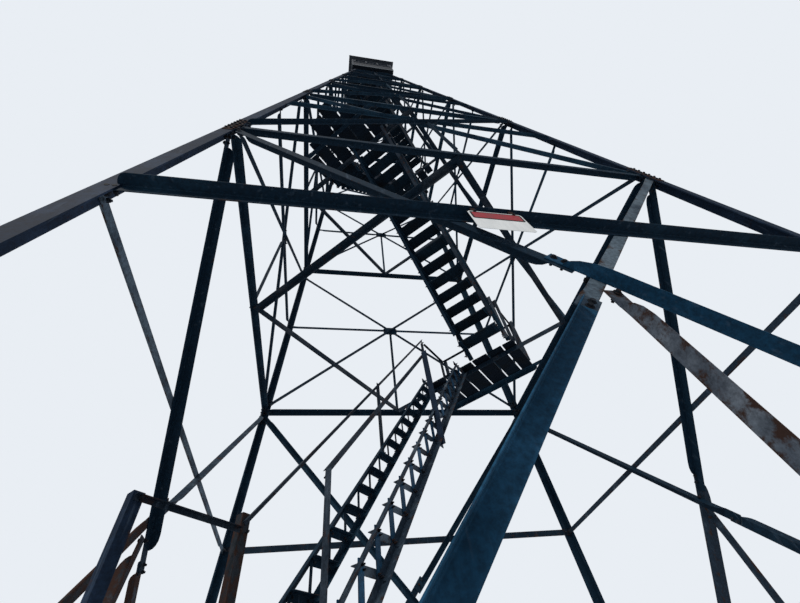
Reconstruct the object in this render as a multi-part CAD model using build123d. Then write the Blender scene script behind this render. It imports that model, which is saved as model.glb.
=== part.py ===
from build123d import *
import math
import os

os.makedirs("parts", exist_ok=True)

# Overall frame: millimetres, tower axis on Z, ground at zero, near face toward -Y
BASE_HALF = 2781.0
TAPER = 0.09966
LEVELS = [0.0, 3892.0, 5830.0, 7619.0, 9372.0, 10993.0, 12582.0]
LEVELS = LEVELS + [14080.0, 15490.0, 16852.0, 18126.0, 19338.0, 20504.0]
GAP = 0.3

# Legs: top level, flange width and thickness of each length
LEG_LENGTHS = [(4, 102.0, 10.0), (8, 89.0, 8.0), (12, 76.0, 6.4)]
FOOT_PLATE = 260.0
FOOT_THICK = 16.0
POST_PLATE = 150.0

# Face members
GIRT_SIZE = 76.0
GIRT_THICK = 6.0
LOW_SIZE = 76.0
LOW_THICK = 6.0
DIAG_SIZE = 51.0
DIAG_THICK = 5.0
HANGER_SIZE = 44.0
HUB_THICK = 5.0
LOW_HUB_HEIGHT = 3240.0
LOW_LAP = 110.0
LOW_CLEAR = 12.0
LOW_INSET = 67.0
POST_SHIFT = 48.0
POST_DROP = 60.0
HUB_LENGTH = 300.0
HUB_DEPTH = 210.0
END_INSET = 55.0
GIRT_INSET = 20.0
DIAG_FOOT = 92.0
DIAG_HEAD = 250.0
END_CUT = 62.0
LOW_CUT = 94.0
END_TAPER = 34.0
PAD_LENGTH = 66.0

# Plan bracing and landings
PLAN_SIZE = 76.0
PLAN_THICK = 6.0
PLANK_THICK = 38.0
PLANK_GAP = 24.0
BEAM_SIZE = 76.0
BEAM_THICK = 6.0
BEAM_SHARE = 0.677
PLANK_MARGIN = 95.0
PLANK_EDGES = [-774.0, -477.0, -220.0, 38.0, 317.0, 568.0, 774.0]
FIRST_DECK = 2046.0
FIRST_INNER = 1400.0
FIRST_OUTER = 2332.0
FIRST_REACH = 748.0
FIRST_POST = 64.0
FIRST_BEAM = 1608.0
FIRST_FOOT = 1713.0
LANDING_LAP = 174.0
LANDING_DEPTH = 764.0

# Flights: treads lie between two sawtooth trusses of flat bar
TRUSS_THICK = 8.0
TRUSS_DROP = 100.0
CHORD = 44.0
STEP_BAR = 30.0
SEAT_WIDTH = 38.0
SEAT_THICK = 5.0
TREAD_THICK = 38.0
TREAD_OVER = 34.0
FOOT_LAP = 45.0
NOSE_OVER = 20.0
LUG_DEPTH = 75.0
RIGHT_IN = 22.0
LEFT_IN = -154.0
WIDE_RIGHT = 682.0
WIDE_LEFT = -748.0
HIGH_RIGHT = 640.0
TOP_HALF = 560.0
TOP_LEFT = -548.0
TOP_RIGHT = 490.0
TOP_LEFT_IN = -40.0

# Handrails
RAIL_SIZE = 38.0
RAIL_THICK = 4.0
RAIL_HEIGHT = 810.0
POST_WIDTH = 50.0
POST_THICK = 6.0
POST_BELOW = 150.0
GUARD_HEIGHT = 930.0
FIRST_RAIL = 2935.0

# Cab
CAB_HALF = 858.0
WALL_THICK = 40.0
JOIST_WIDTH = 50.0
JOIST_DEPTH = 80.0
FLOOR_THICK = 28.0
CAB_HEIGHT = 1587.0
EAVE_HALF = 965.0
EAVE_THICK = 50.0
ROOF_RISE = 700.0
ROOF_SHELL = 30.0
ROOF_TOP_HALF = 60.0
SILL = 850.0
WINDOW_HEIGHT = 560.0
WINDOW_END = 150.0
MULLION = 60.0
LIGHTS = 3
GLASS_THICK = 5.0
HATCH_LEFT = 0.0
HATCH_RIGHT = 512.0
HATCH_LOW = -410.0
HATCH_HIGH = 310.0
HATCH_LAP = 20.0
HATCH_CLEAR = 5.0

SLANT = math.sqrt(1.0 + TAPER * TAPER)
ROOT2 = math.sqrt(2.0)
STAIR = Rot(0, 0, -45)
FACES = {"near": 0, "right": 90, "far": 180, "left": 270}


def half(z):
    """Half width of the tower across two faces at a height."""
    return BASE_HALF - TAPER * z


def leg_thick(z):
    """Flange thickness of the leg length that holds a height."""
    for top, size, thick in LEG_LENGTHS:
        if z <= LEVELS[top] + 1.0:
            return thick
    return LEG_LENGTHS[-1][2]


def beam_inset(z):
    """How far inside the leg face the outer beam of a landing ends."""
    return leg_thick(z) + GIRT_THICK + 14.0


def beam_top(z):
    """Top of the outer beam, which lies on the leaning girt flanges."""
    return z - beam_inset(z) * TAPER + GAP + BEAM_THICK


def deck(z):
    """Top of the planks of a landing at a level."""
    return beam_top(z) + GAP + PLANK_THICK


def save(name, shapes):
    """Write one node; several shapes stay separate solids."""
    solids = []
    for shape in shapes:
        solids.extend(shape.solids())
    node = Compound(children=solids) if len(solids) > 1 else solids[0]
    node.label = name
    export_step(node, "parts/" + name + ".step")


def angle_bar(frame, length, size, thick, edge=1, cut=(0.0, 0.0), taper=0.0, out=False):
    """Angle along the frame's X with its flat under the frame's plane.

    The standing flange is on one edge, cut back at both ends."""
    flat = Pos(length / 2, 0, -thick / 2) * Box(length, size, thick)
    root = -thick if out else 0.0
    reach = size - thick if out else -size
    side = Plane(origin=(0, edge * size / 2, 0), x_dir=(1, 0, 0), z_dir=(0, -edge, 0))
    corners = [(cut[0], root), (length - cut[1], root)]
    corners = corners + [(length - cut[1] - taper, reach), (cut[0] + taper, reach)]
    outline = Polygon(*[(x, edge * z) for x, z in corners], align=None)
    web = extrude(side * outline, thick, dir=(0, -edge, 0))
    return frame.location * (flat + web)


def face_frame():
    """Leaning plane of the near face: X along it, Y up it, Z outward."""
    return Plane(origin=(0, -BASE_HALF, 0), x_dir=(1, 0, 0), z_dir=(0, -1, TAPER))


def face_bar(p, q, depth, size, thick, edge=1, cut=(0.0, 0.0), taper=0.0, out=False):
    """Angle in the near face from p to q, each (along, height above ground)."""
    run = q[0] - p[0]
    rise = (q[1] - p[1]) * SLANT
    length = math.hypot(run, rise)
    turn = math.degrees(math.atan2(rise, run))
    place = Pos(p[0], p[1] * SLANT, -depth) * Rot(0, 0, turn)
    bar = angle_bar(Plane.XY, length, size, thick, edge, cut, taper, out)
    return face_frame().location * (place * bar)


def face_plate(x, z, depth, wide, high, thick):
    """Flat plate in the near face, centred at (along, height)."""
    plate = Pos(x, z * SLANT, -depth - thick / 2) * Box(wide, high, thick)
    return face_frame().location * plate


def face_pad(p, q, depth, deep, wide):
    """Packing between a leg flange and the end of a bar that starts at p."""
    run = q[0] - p[0]
    rise = (q[1] - p[1]) * SLANT
    turn = math.degrees(math.atan2(rise, run))
    pad = Pos(PAD_LENGTH / 2, 0, -deep / 2) * Box(PAD_LENGTH, wide, deep)
    place = Pos(p[0], p[1] * SLANT, -depth) * Rot(0, 0, turn)
    return face_frame().location * (place * pad)


def bar_rise(p, q):
    """Length of a face bar from p to q."""
    return math.hypot(q[0] - p[0], (q[1] - p[1]) * SLANT)


# Legs
def leg():
    """Near right leg: lengths of angle that step down in size going up."""
    shape = None
    low = FOOT_THICK
    for top, size, thick in LEG_LENGTHS:
        high = LEVELS[top]
        h = half(low)
        points = [(h, -h), (h, size - h), (h - thick, size - h), (h - thick, thick - h)]
        points = points + [(h - size, thick - h), (h - size, -h)]
        section = Pos(0, 0, low) * Polygon(*points, align=None)
        lean = TAPER * (high - low)
        piece = Solid.extrude(section.face(), Vector(-lean, lean, high - low))
        shape = piece if shape is None else shape.fuse(piece)
        low = high
    return shape


def foot_plates():
    """Plates under the legs and under the middle post of each face."""
    plates = []
    at = half(0) - LEG_LENGTHS[0][1] / 2
    for turn in FACES.values():
        plate = Pos(at, -at, FOOT_THICK / 2) * Box(FOOT_PLATE, FOOT_PLATE, FOOT_THICK)
        plates.append(Rot(0, 0, turn) * plate)
        middle = Pos(POST_SHIFT, 16 - half(0), FOOT_THICK / 2) * Box(POST_PLATE, POST_PLATE, FOOT_THICK)
        plates.append(Rot(0, 0, turn) * middle)
    return plates


# Girts
def girts():
    """Near face girts: one above the bottom crossing, one at each even level."""
    bars = []
    first = LEVELS[1]
    reach = half(first) - GIRT_INSET
    depth = leg_thick(first) + GAP
    p, q = (-reach, first), (reach, first)
    bars.append(face_bar(p, q, depth, GIRT_SIZE, GIRT_THICK, 1, (LOW_CUT, LOW_CUT), 20.0, True))
    for level in LEVELS[2::2]:
        middle = level - GIRT_SIZE / 2 / SLANT
        reach = half(level) - GIRT_INSET
        depth = leg_thick(level) + GAP
        p, q = (-reach, middle), (reach, middle)
        bars.append(face_bar(p, q, depth, GIRT_SIZE, GIRT_THICK, 1, (75.0, 75.0), 20.0))
    return bars


# Bracing in the faces
def bottom_bracing():
    """Half diagonals and middle post of the bottom panel.

    The upper pair lies inside the girt; the lower pair laps over its ends."""
    outer = leg_thick(0) + GAP
    inner = outer + LOW_THICK + GAP
    hub = (0.0, LOW_HUB_HEIGHT)
    head = LEVELS[2] - GIRT_SIZE - 60
    foot = FOOT_THICK + 90
    a = half(head) - LOW_INSET
    b = half(foot) - LOW_INSET
    rise = (head - hub[1]) * SLANT
    cross = math.pi - 2 * math.atan2(rise, a)
    clear = (LOW_SIZE * (1 + abs(math.cos(cross))) / 2 + LOW_CLEAR) / math.sin(cross)
    through = clear + LOW_LAP

    def beyond(end, reach):
        """Point at a distance from the crossing toward an end."""
        share = reach / bar_rise(hub, end)
        return (end[0] * share, hub[1] + (end[1] - hub[1]) * share)

    # Upper pair: the right one runs through the crossing, the left one stops short of it
    bars = []
    for end, start, edge in (((a, head), -through, 1), ((-a, head), clear, -1)):
        p = beyond(end, start)
        bar = face_bar(p, end, inner, LOW_SIZE, LOW_THICK, edge, (LOW_LAP + 30 - min(start, 0), 110.0), 60.0)
        bars.append(bar + face_pad(end, p, outer, inner - outer, LOW_SIZE - 2))

    # Lower pair: the right one starts on the upper left one and passes over the crossing
    for end, start in (((b, foot), -through), ((-b, foot), clear)):
        p = beyond(end, start)
        bars.append(face_bar(p, end, outer, LOW_SIZE, LOW_THICK, -1, (LOW_LAP, 150.0), 60.0, True))

    # Middle post, its head behind the lower right bar
    top = (POST_SHIFT, LOW_HUB_HEIGHT - POST_DROP)
    bottom = (POST_SHIFT, FOOT_THICK + GAP + (inner + LOW_THICK) * TAPER)
    bars.append(face_bar(bottom, top, inner, LOW_SIZE, LOW_THICK, 1, (0.0, LOW_LAP + 20), 0.0, True))
    return bars


def panel_bracing(low, high):
    """Crossed diagonals, split girt, crossing plate and hanger of one panel."""
    outer = leg_thick(high) + GAP
    plate = outer + DIAG_THICK + GAP
    inner = plate + HUB_THICK + GAP
    foot = low + DIAG_FOOT
    head = high - DIAG_HEAD
    a = half(foot) - END_INSET
    b = half(head) - END_INSET
    cut = (END_CUT, END_CUT)
    clear = (LOW_CUT, END_CUT)
    first = face_bar((-a, foot), (b, head), outer, DIAG_SIZE, DIAG_THICK, 1, clear, END_TAPER, True)
    p, q = (a, foot), (-b, head)
    second = face_bar(p, q, inner, DIAG_SIZE, DIAG_THICK, 1, cut, END_TAPER)
    for s, e in ((p, q), (q, p)):
        second = second + face_pad(s, e, outer, inner - outer, DIAG_SIZE)
    cross = foot + (head - foot) * a / (a + b)
    slope = (head - foot) * SLANT / (a + b)
    bars = [first, second]
    bars.append(face_plate(0, cross - 12, plate, HUB_LENGTH, HUB_DEPTH, HUB_THICK))
    clear = (DIAG_SIZE / 2 + 12) / math.sin(math.atan(slope)) + DIAG_SIZE / 2 / slope
    for side in (-1, 1):
        p = (side * (half(cross) - END_INSET), cross)
        q = (side * clear, cross)
        edge = 1 if side < 0 else -1
        cut = (LOW_CUT, 40.0)
        bars.append(face_bar(p, q, outer, DIAG_SIZE, DIAG_THICK, edge, cut, END_TAPER, True))
    drop = (DIAG_SIZE / 2 + 12) * math.sqrt(1 + slope * slope) + HANGER_SIZE / 2 * slope
    top = (0.0, cross - drop / SLANT)
    bottom = (0.0, low + GAP)
    bars.append(face_bar(bottom, top, outer, HANGER_SIZE, DIAG_THICK, 1, (0.0, 20.0), 0.0, True))
    return bars


# Plan bracing: a square of angles from mid side to mid side at each even level
def plan_reach(level):
    """Distance from the axis to the outer edge of the plan bracing."""
    return (half(level) - leg_thick(level) - GIRT_THICK - 2 * GAP) / ROOT2


def plan_top(level):
    """Top of the plan bracing, under the inner edge of the leaning girt flange."""
    inward = leg_thick(level) + GAP + GIRT_SIZE
    return level - GIRT_THICK - inward * TAPER - GAP


def plan_square(level):
    """Four angles that hang under the girts, standing flange down inside."""
    c = plan_reach(level)
    top = plan_top(level)
    bars = []
    for turn in (0, 180):
        frame = Plane(origin=(-c, c - PLAN_SIZE / 2, top), x_dir=(1, 0, 0), z_dir=(0, 0, 1))
        bar = angle_bar(frame, 2 * c, PLAN_SIZE, PLAN_THICK, -1, (60.0, 60.0), 20.0)
        bars.append(STAIR * Rot(0, 0, turn) * bar)
    short = c - PLAN_SIZE - GAP
    for turn in (90, 270):
        frame = Plane(origin=(-short, c - PLAN_SIZE / 2, top), x_dir=(1, 0, 0), z_dir=(0, 0, 1))
        bar = angle_bar(frame, 2 * short, PLAN_SIZE, PLAN_THICK, -1, (10.0, 10.0), 20.0)
        bars.append(STAIR * Rot(0, 0, turn) * bar)
    return bars


# Landings
def inner_edge(level):
    """Where the planks of a landing end over the stair well."""
    return plan_reach(level) - PLAN_SIZE - NOSE_OVER


def landing(level, side, reach, inner):
    """Planks on an outer beam and a bearer over the plan bracing."""
    c = plan_reach(level)
    at = BEAM_SHARE * ROOT2 * half(level)
    solids = []
    span = ROOT2 * (half(level) - beam_inset(level)) - at - BEAM_SIZE / 2
    top = beam_top(level)
    frame = Plane(origin=(-span, at, top), x_dir=(1, 0, 0), z_dir=(0, 0, 1))
    solids.append(angle_bar(frame, 2 * span, BEAM_SIZE, BEAM_THICK, 1, (115.0, 115.0), 0.0))
    low = plan_top(level) + GAP
    wide = PLAN_SIZE - 4
    bearer = Box(2 * reach - 6, wide, top - low)
    solids.append(Pos(0, c - PLAN_SIZE / 2, (top + low) / 2) * bearer)
    z = top + GAP + PLANK_THICK / 2
    limit = ROOT2 * (half(level) - PLANK_MARGIN)
    longest = inner + LANDING_DEPTH + 68 if level == LEVELS[2] else limit
    edges = [e for e in PLANK_EDGES if abs(e) < reach - 60]
    edges = [-reach] + edges + [reach]
    for i in range(len(edges) - 1):
        left = edges[i] + PLANK_GAP / 2
        right = edges[i + 1] - PLANK_GAP / 2
        out = min(limit - max(abs(left), abs(right)), longest)
        if level == LEVELS[2] and i < len(edges) - 2:
            out = min(out, inner + LANDING_DEPTH)
        plank = Box(right - left, out - inner, PLANK_THICK)
        solids.append(Pos((left + right) / 2, (out + inner) / 2, z) * plank)
    turn = 0 if side > 0 else 180
    flip = Rot(0, 0, turn)
    return [STAIR * (flip * s) for s in solids]


def first_landing():
    """Lowest landing, on its own posts down to the ground."""
    solids = []
    reach = FIRST_REACH
    edges = [-reach] + PLANK_EDGES[1:-1] + [reach]
    z = FIRST_DECK - PLANK_THICK / 2
    top = FIRST_DECK - PLANK_THICK - GAP
    for i in range(len(edges) - 1):
        left = edges[i] + PLANK_GAP / 2
        right = edges[i + 1] - PLANK_GAP / 2
        plank = Box(right - left, FIRST_OUTER - FIRST_INNER, PLANK_THICK)
        solids.append(Pos((left + right) / 2, -(FIRST_OUTER + FIRST_INNER) / 2, z) * plank)
    for at, edge in ((-FIRST_OUTER + BEAM_SIZE / 2 + 8, 1), (-FIRST_BEAM, -1)):
        frame = Plane(origin=(-reach, at, top), x_dir=(1, 0, 0), z_dir=(0, 0, 1))
        solids.append(angle_bar(frame, 2 * reach, BEAM_SIZE, BEAM_THICK, edge))
    return [STAIR * s for s in solids]


def first_posts():
    """Posts of the lowest landing; the two on the left carry the rails."""
    posts = []
    outer = -FIRST_OUTER + BEAM_SIZE / 2
    inner = -FIRST_BEAM
    places = [(-1, outer, 2970.0), (-1, inner, 3046.0), (1, outer, FIRST_DECK), (1, inner, FIRST_DECK)]
    for side, w, top in places:
        at = side * (FIRST_REACH + GAP + POST_THICK)
        frame = Plane(origin=(at, w, 0), x_dir=(0, 0, 1), z_dir=(side, 0, 0))
        bar = angle_bar(frame, top, FIRST_POST, POST_THICK, side, (0, 0), 0.0, True)
        posts.append(STAIR * bar)
    return posts


# Flights
def flight_numbers(flight):
    """Rise, going and slope of a flight."""
    base, z0, end, z1, count = flight[:5]
    rise = (z1 - z0) / count
    going = abs(end - base) / count
    return rise, going, rise / going


def truss(flight, u, stop, top, seats, bars):
    """One sawtooth truss in the upright plane at u, body toward +u.

    The open flight has a bar under each seat; elsewhere the treads hide it."""
    base, z0, end, z1, count = flight[:5]
    rise, going, slope = flight_numbers(flight)
    way = 1 if end > base else -1
    drop = rise + TRUSS_DROP
    far = count * going + 400
    band = Polygon(
        (-10, -10 * slope),
        (far, far * slope),
        (far, far * slope - drop - CHORD),
        (-10, -10 * slope - drop - CHORD),
        align=None,
    )
    last = abs(stop - base)
    window = Pos(last / 2 - 5, (top - z0 + GAP) / 2, 0) * Rectangle(last + 10, top - z0 - GAP)
    outline = band & window
    head = (top - z0) / slope
    lug = Pos((head - 60 + last) / 2, top - z0 - LUG_DEPTH / 2, 0) * Rectangle(last - head + 60, LUG_DEPTH)
    if last > head - 40:
        outline = outline + lug
    holes = []
    for k in range(count):
        a0 = k * going
        a1 = a0 + going
        zk = k * rise - TREAD_THICK
        corner = a1 - 9
        upper = corner * slope - CHORD
        left = (zk + CHORD) / slope
        if bars and k > 0:
            holes.append(Polygon((left, zk), (corner, zk), (corner, upper), align=None))
        a = a0 + 9
        left_top = zk - STEP_BAR if bars else a * slope - CHORD
        right_top = zk - STEP_BAR if bars else upper
        low_left = a * slope - drop
        low_right = corner * slope - drop
        if k > 0:
            quad = [(a, left_top), (corner, right_top), (corner, low_right), (a, low_left)]
            holes.append(Polygon(*quad, align=None))
    keep = Pos(last / 2 + 8, (top - z0) / 2 + 10, 0) * Rectangle(last - 50, top - z0 - 50)
    shape = outline
    for hole in holes:
        inside = hole & keep
        if inside is not None and abs(inside.area - hole.area) < 1.0:
            shape = shape - hole
    plane = Plane(origin=(u, base, z0), x_dir=(0, way, 0), z_dir=(way, 0, 0))
    shift = 0.0 if way > 0 else TRUSS_THICK
    solid = extrude(shape, TRUSS_THICK, dir=(0, 0, 1))
    solid = Pos(0, 0, -shift) * solid
    solid = plane.location * solid
    inner = u + TRUSS_THICK if seats > 0 else u
    for k in range(1, count):
        w = base + way * (k + 0.5) * going
        if abs(w - base) > last - 40:
            continue
        z = z0 + k * rise - TREAD_THICK - GAP - SEAT_THICK / 2
        at = inner + seats * (SEAT_WIDTH / 2 - 1)
        solid = solid + Pos(at, w, z) * Box(SEAT_WIDTH + 2, going - 6, SEAT_THICK)
    return STAIR * solid


def treads(flight, u0, u1):
    """Planks between the trusses of a flight."""
    base, z0, end, z1, count = flight[:5]
    rise, going, slope = flight_numbers(flight)
    way = 1 if end > base else -1
    deep = going + TREAD_OVER
    wide = u1 - u0 - 2 * TRUSS_THICK - 2 * GAP
    planks = []
    for k in range(1, count):
        w = base + way * (k * going + deep / 2 - TREAD_OVER)
        z = z0 + k * rise - TREAD_THICK / 2
        planks.append(STAIR * (Pos((u0 + u1) / 2, w, z) * Box(wide, deep, TREAD_THICK)))
    return planks


# Rails on the outer side of the flights
def rail_line(flight, w):
    """Height of the handrail of a flight above the ground."""
    base, z0, end = flight[:3]
    slope = flight_numbers(flight)[2]
    return z0 + abs(w - base) * slope + RAIL_HEIGHT


def rail_post(u, side, w, z0, z1):
    """Upright flat bar outside a truss or beam whose outer face is at u."""
    post = Box(POST_THICK, POST_WIDTH, z1 - z0)
    return STAIR * (Pos(u + side * (GAP + POST_THICK / 2), w, (z0 + z1) / 2) * post)


def end_post(u, w, side, z0, z1):
    """Upright flat bar on the outer edge of a landing, flat to the rail."""
    post = Box(POST_WIDTH, POST_THICK, z1 - z0)
    return STAIR * (Pos(u, w + side * (GAP + POST_THICK / 2), (z0 + z1) / 2) * post)


def rail(u, side, p, q):
    """Angle rail against the outer flats of the posts, from (w, z) to (w, z)."""
    at = u + side * (2 * GAP + POST_THICK + RAIL_THICK)
    run = q[0] - p[0]
    rise = q[1] - p[1]
    frame = Plane(origin=(at, p[0], p[1]), x_dir=(0, run, rise), z_dir=(side, 0, 0))
    edge = side if run > 0 else -side
    bar = angle_bar(frame, math.hypot(run, rise), RAIL_SIZE, RAIL_THICK, edge, (0, 0), 0.0, True)
    return STAIR * bar


def end_rail(w, side, u0, u1, z):
    """Angle rail along the outer edge of a landing."""
    at = w + side * (2 * GAP + POST_THICK + RAIL_THICK)
    frame = Plane(origin=(u0, at, z), x_dir=(1, 0, 0), z_dir=(0, side, 0))
    return STAIR * angle_bar(frame, u1 - u0, RAIL_SIZE, RAIL_THICK, -side, (0, 0), 0.0, True)


def flight_rail(flight, u, side, w0, w1, posts):
    """Sloping rail from w0 to w1 with posts on the truss."""
    slope = flight_numbers(flight)[2]
    bars = [rail(u, side, (w0, rail_line(flight, w0)), (w1, rail_line(flight, w1)))]
    for w in posts:
        top = rail_line(flight, w)
        bars.append(rail_post(u, side, w, top - RAIL_HEIGHT - POST_BELOW, top + 14 + 16 * slope))
    return bars


# Cab
def cab_floor_height():
    """Underside of the floor boards."""
    return LEVELS[12] + GAP + JOIST_DEPTH + GAP


def cab_joists():
    """Joists across the top girts, trimmed round the hatch."""
    low = LEVELS[12] + GAP
    z = low + JOIST_DEPTH / 2
    solids = []
    limit = ROOT2 * (CAB_HALF - 12)
    places = [HATCH_LEFT - JOIST_WIDTH / 2, HATCH_RIGHT + JOIST_WIDTH / 2, HATCH_LEFT - HATCH_RIGHT]
    for u in places:
        reach = limit - abs(u) - JOIST_WIDTH / 2
        solids.append(Pos(u, 0, z) * Box(JOIST_WIDTH, 2 * reach, JOIST_DEPTH))
    wide = HATCH_RIGHT - HATCH_LEFT - 2 * GAP
    middle = (HATCH_LEFT + HATCH_RIGHT) / 2
    for w in (HATCH_LOW - JOIST_WIDTH / 2, HATCH_HIGH + JOIST_WIDTH / 2):
        solids.append(Pos(middle, w, z) * Box(wide, JOIST_WIDTH, JOIST_DEPTH))
    return [STAIR * s for s in solids]


def hatch_box(shrink, thick, z):
    """Rectangle of the hatch, turned with the stairs."""
    wide = HATCH_RIGHT - HATCH_LEFT + 2 * HATCH_LAP - 2 * shrink
    long = HATCH_HIGH - HATCH_LOW + 2 * HATCH_LAP - 2 * shrink
    middle = ((HATCH_LEFT + HATCH_RIGHT) / 2, (HATCH_LOW + HATCH_HIGH) / 2)
    return STAIR * (Pos(middle[0], middle[1], z + thick / 2) * Box(wide, long, thick))


def cab_floor():
    """Floor boards with the hatch cut through."""
    z = cab_floor_height()
    slab = Pos(0, 0, z + FLOOR_THICK / 2) * Box(2 * CAB_HALF, 2 * CAB_HALF, FLOOR_THICK)
    return slab - hatch_box(0, FLOOR_THICK + 20, z - 10)


def eave_height():
    """Underside of the eaves board."""
    return cab_floor_height() + FLOOR_THICK + CAB_HEIGHT


def cab_wall(length):
    """Near wall with a row of lights cut through."""
    low = cab_floor_height() + FLOOR_THICK + GAP
    high = eave_height() - GAP
    wall = Box(length, WALL_THICK, high - low)
    wall = Pos(0, WALL_THICK / 2 - CAB_HALF, (low + high) / 2) * wall
    row = 2 * CAB_HALF - 2 * WINDOW_END
    light = (row - (LIGHTS - 1) * MULLION) / LIGHTS
    for k in range(LIGHTS):
        x = -row / 2 + light / 2 + k * (light + MULLION)
        hole = Box(light, 4 * WALL_THICK, WINDOW_HEIGHT)
        wall = wall - Pos(x, -CAB_HALF, low + SILL + WINDOW_HEIGHT / 2) * hole
    return wall


def cab_glass():
    """One sheet behind the lights of each wall."""
    low = cab_floor_height() + FLOOR_THICK + GAP + SILL
    sheets = []
    wide = 2 * CAB_HALF - 2 * WINDOW_END + 30
    at = CAB_HALF - WALL_THICK - GAP - GLASS_THICK / 2
    for turn in FACES.values():
        sheet = Box(wide, GLASS_THICK, WINDOW_HEIGHT + 30)
        sheets.append(Rot(0, 0, turn) * (Pos(0, -at, low + WINDOW_HEIGHT / 2) * sheet))
    return sheets


def cab_roof():
    """Low pyramid of sheet on a flat eaves board."""
    base = eave_height() + EAVE_THICK
    eave = Pos(0, 0, base - EAVE_THICK / 2) * Box(2 * EAVE_HALF, 2 * EAVE_HALF, EAVE_THICK)
    inside = 2 * (CAB_HALF - WALL_THICK)
    eave = eave - Pos(0, 0, base) * Box(inside, inside, 4 * EAVE_THICK)
    pitch = math.degrees(math.atan2(EAVE_HALF - ROOF_TOP_HALF, ROOF_RISE))
    square = Pos(0, 0, base) * Rectangle(2 * EAVE_HALF, 2 * EAVE_HALF)
    outer = extrude(square, ROOF_RISE, taper=pitch)
    return eave + (outer - Pos(0, 0, -ROOF_SHELL) * outer)


# Write the legs, feet, girts and face bracing
corners = {"near_right": 0, "far_right": 90, "far_left": 180, "near_left": 270}
for name, turn in corners.items():
    save("leg_" + name, [Rot(0, 0, turn) * leg()])
save("foot_plates", foot_plates())
face_girts = girts()
face_braces = bottom_bracing()
for i in range(2, 12, 2):
    face_braces.extend(panel_bracing(LEVELS[i], LEVELS[i + 2]))
for name, turn in FACES.items():
    save("girts_" + name, [Rot(0, 0, turn) * g for g in face_girts])
    save("bracing_" + name, [Rot(0, 0, turn) * b for b in face_braces])

squares = []
for level in LEVELS[2:12:2]:
    squares.extend(plan_square(level))
save("plan_bracing", squares)

# Write the landings
save("landing_0", first_landing() + first_posts())
landing_sides = [(2, 1, 774.0), (4, -1, 774.0), (6, 1, 774.0), (8, -1, 640.0), (10, 1, TOP_HALF)]
first_edge = plan_reach(LEVELS[2]) - LANDING_LAP
for n, (level, side, reach) in enumerate(landing_sides):
    z = LEVELS[level]
    inner = first_edge if level == 2 else inner_edge(z)
    save("landing_" + str(n + 1), landing(z, side, reach, inner))

# Flights: first nose line foot, foot height, last nose, head height, risers, sides
cab_top = cab_floor_height() + FLOOR_THICK
d = [deck(LEVELS[k]) for k in (2, 4, 6, 8, 10)]
e = [inner_edge(LEVELS[k]) for k in (4, 6, 8, 10)]
flights = [
    (32.0, 0.0, -FIRST_INNER, FIRST_DECK, 9, RIGHT_IN, WIDE_RIGHT),
    (-FIRST_FOOT, FIRST_DECK, first_edge - 138, d[0], 17, WIDE_LEFT, LEFT_IN),
    (first_edge + 38, d[0], -e[0], d[1], 16, RIGHT_IN, WIDE_RIGHT),
    (-e[0] - FOOT_LAP, d[1], e[1], d[2], 15, WIDE_LEFT, LEFT_IN),
    (e[1] + FOOT_LAP, d[2], -e[2], d[3], 13, RIGHT_IN, HIGH_RIGHT),
    (-e[2] - FOOT_LAP, d[3], e[3], d[4], 12, TOP_LEFT, TOP_LEFT_IN),
    (e[3] + FOOT_LAP, d[4], HATCH_LOW, cab_top, 11, RIGHT_IN, TOP_RIGHT),
]
tops = [x - PLANK_THICK - GAP for x in [FIRST_DECK] + d] + [cab_top - FLOOR_THICK - GAP]
faces = [plan_reach(LEVELS[k]) - PLAN_SIZE - GAP for k in (2, 4, 6, 8, 10)]
stops = [BEAM_SIZE / 2 - FIRST_BEAM + GAP]
stops = stops + [faces[0], -faces[1], faces[2], -faces[3], faces[4], HATCH_LOW + GAP]
for n, flight in enumerate(flights):
    u0, u1 = flight[5], flight[6]
    left = truss(flight, u0, stops[n], tops[n], 1, n == 1)
    right = truss(flight, u1 - TRUSS_THICK, stops[n], tops[n], -1, n == 1)
    save("stringers_" + str(n), [left, right])
    if n >= 2:
        save("treads_" + str(n), treads(flight, u0, u1))

# Rails of the two lowest flights and of the landing between them
outer_post = BEAM_SIZE / 2 - FIRST_OUTER
inner_post = -FIRST_BEAM
rail_end = inner_post - FIRST_POST / 2 - GAP
low_rails = [rail(WIDE_LEFT, -1, (outer_post - 20, FIRST_RAIL), (rail_end, FIRST_RAIL))]
low_rails = low_rails + flight_rail(flights[1], WIDE_LEFT, -1, inner_post - 10, first_edge + 25, [-66.0])
low_rails.append(rail_post(WIDE_LEFT, -1, first_edge + 30, d[0] + GAP, d[0] + GUARD_HEIGHT + 60))
low_rails = low_rails + flight_rail(flights[1], LEFT_IN, 1, -1560.0, 150.0, [132.0])
low_rails.append(rail_post(LEFT_IN, 1, -1560.0, FIRST_DECK + GAP, 3130.0))
save("handrails_low", low_rails)

guard = d[0] + GUARD_HEIGHT
edge_w = first_edge + 690
guards = [rail(WIDE_LEFT, -1, (first_edge + 60, guard), (edge_w + 25, guard))]
guards.append(rail_post(WIDE_LEFT, -1, edge_w, d[0] + GAP, guard + 19))
guards.append(end_rail(edge_w + 25, 1, WIDE_LEFT + 24, 726.0, guard))
guards.append(end_post(700.0, edge_w + 25, 1, d[0] + GAP, guard + 19))
guards.append(end_post(WIDE_LEFT + 50, edge_w + 25, 1, d[0] + GAP, guard + 19))
guards.append(rail(726.0, 1, (first_edge, guard), (edge_w + 10, guard)))
guards.append(rail_post(726.0, 1, first_edge + 30, d[0] + GAP, guard + 19))
guards.append(rail_post(726.0, 1, edge_w - 20, d[0] + GAP, guard + 19))
save("landing_guards", guards)

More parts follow.
